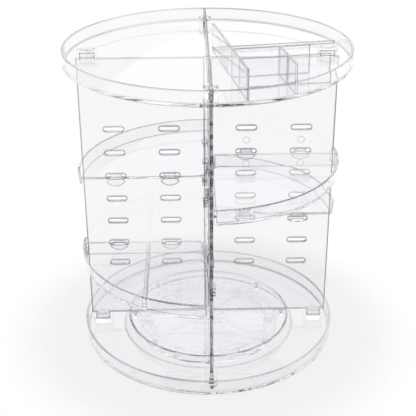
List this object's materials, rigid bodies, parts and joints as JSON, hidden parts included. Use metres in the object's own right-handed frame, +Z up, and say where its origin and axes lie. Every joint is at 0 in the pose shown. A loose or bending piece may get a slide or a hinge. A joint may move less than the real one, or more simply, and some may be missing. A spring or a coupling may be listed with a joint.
{
  "type": "rotating cosmetics organizer",
  "caption": "Clear round organizer on a ball-bearing turntable with upright slotted panels, a top tray and quarter-circle trays that hook in at different heights.",
  "frame": {"origin": "centre of the turntable's feet, on the table", "axes": "+Z up along the axis of rotation, -Y towards the front (the quarter with the divided tray is front left), +X right"},
  "size_m": [0.28, 0.28, 0.3351],
  "materials": {
    "clear_tray": "polished clear",
    "clear_panel": "polished clear",
    "clear_quarter_tray": "polished clear",
    "clear_insert": "polished clear",
    "clear_turntable": "clear, lightly frosted on the tracks",
    "rubber_feet": "matt"
  },
  "bodies": {
    "base": {"rubber_feet": "rubber_feet", "turntable_base": "clear_turntable", "thrust_washer": "clear_turntable", "pivot_rivet": "clear_turntable"},
    "cage": {"bearing_balls": "clear_turntable", "ball_cage": "clear_turntable"},
    "rotor": {"turntable_spider": "clear_turntable", "bottom_tray": "clear_tray", "panel_foot_right": "clear_tray", "panel_foot_back": "clear_tray", "panel_foot_left": "clear_tray", "panel_foot_front": "clear_tray", "panel_right": "clear_panel", "panel_back": "clear_panel", "panel_left": "clear_panel", "panel_front": "clear_panel", "centre_post": "clear_panel", "top_tray": "clear_tray", "panel_cap_right": "clear_tray", "panel_cap_back": "clear_tray", "panel_cap_left": "clear_tray", "panel_cap_front": "clear_tray"},
    "partition": {"top_partition": "clear_insert"},
    "insert": {"lipstick_insert": "clear_insert"},
    "front_right_tray": {"tray_front_right": "clear_quarter_tray"},
    "front_left_tray": {"tray_front_left": "clear_quarter_tray"},
    "back_left_tray": {"tray_back_left": "clear_quarter_tray"},
    "back_right_tray": {"tray_back_right": "clear_quarter_tray"}
  },
  "joints": [
    {"name": "turntable_spin", "type": "hinge", "parent": "base", "child": "rotor", "pos_m": [0, 0, 0.01], "axis": [0, 0, 1], "continuous": true},
    {"name": "cage_spin", "type": "hinge", "parent": "base", "child": "cage", "pos_m": [0, 0, 0.0067], "axis": [0, 0, 1], "continuous": true},
    {"name": "partition_lift", "type": "slide", "parent": "rotor", "child": "partition", "axis": [0, 0, 1], "range_m": [0, 0.04]},
    {"name": "insert_lift", "type": "slide", "parent": "rotor", "child": "insert", "axis": [0, 0, 1], "range_m": [0, 0.06]},
    {"name": "front_right_tray_lift", "type": "slide", "parent": "rotor", "child": "front_right_tray", "axis": [0, 0, 1], "range_m": [0, 0.0022]},
    {"name": "front_left_tray_lift", "type": "slide", "parent": "rotor", "child": "front_left_tray", "axis": [0, 0, 1], "range_m": [0, 0.0022]},
    {"name": "back_left_tray_lift", "type": "slide", "parent": "rotor", "child": "back_left_tray", "axis": [0, 0, 1], "range_m": [0, 0.0022]},
    {"name": "back_right_tray_lift", "type": "slide", "parent": "rotor", "child": "back_right_tray", "axis": [0, 0, 1], "range_m": [0, 0.0022]}
  ],
  "couplings": [
    {"joint": "cage_spin", "follows": "turntable_spin", "ratio": 0.5}
  ]
}
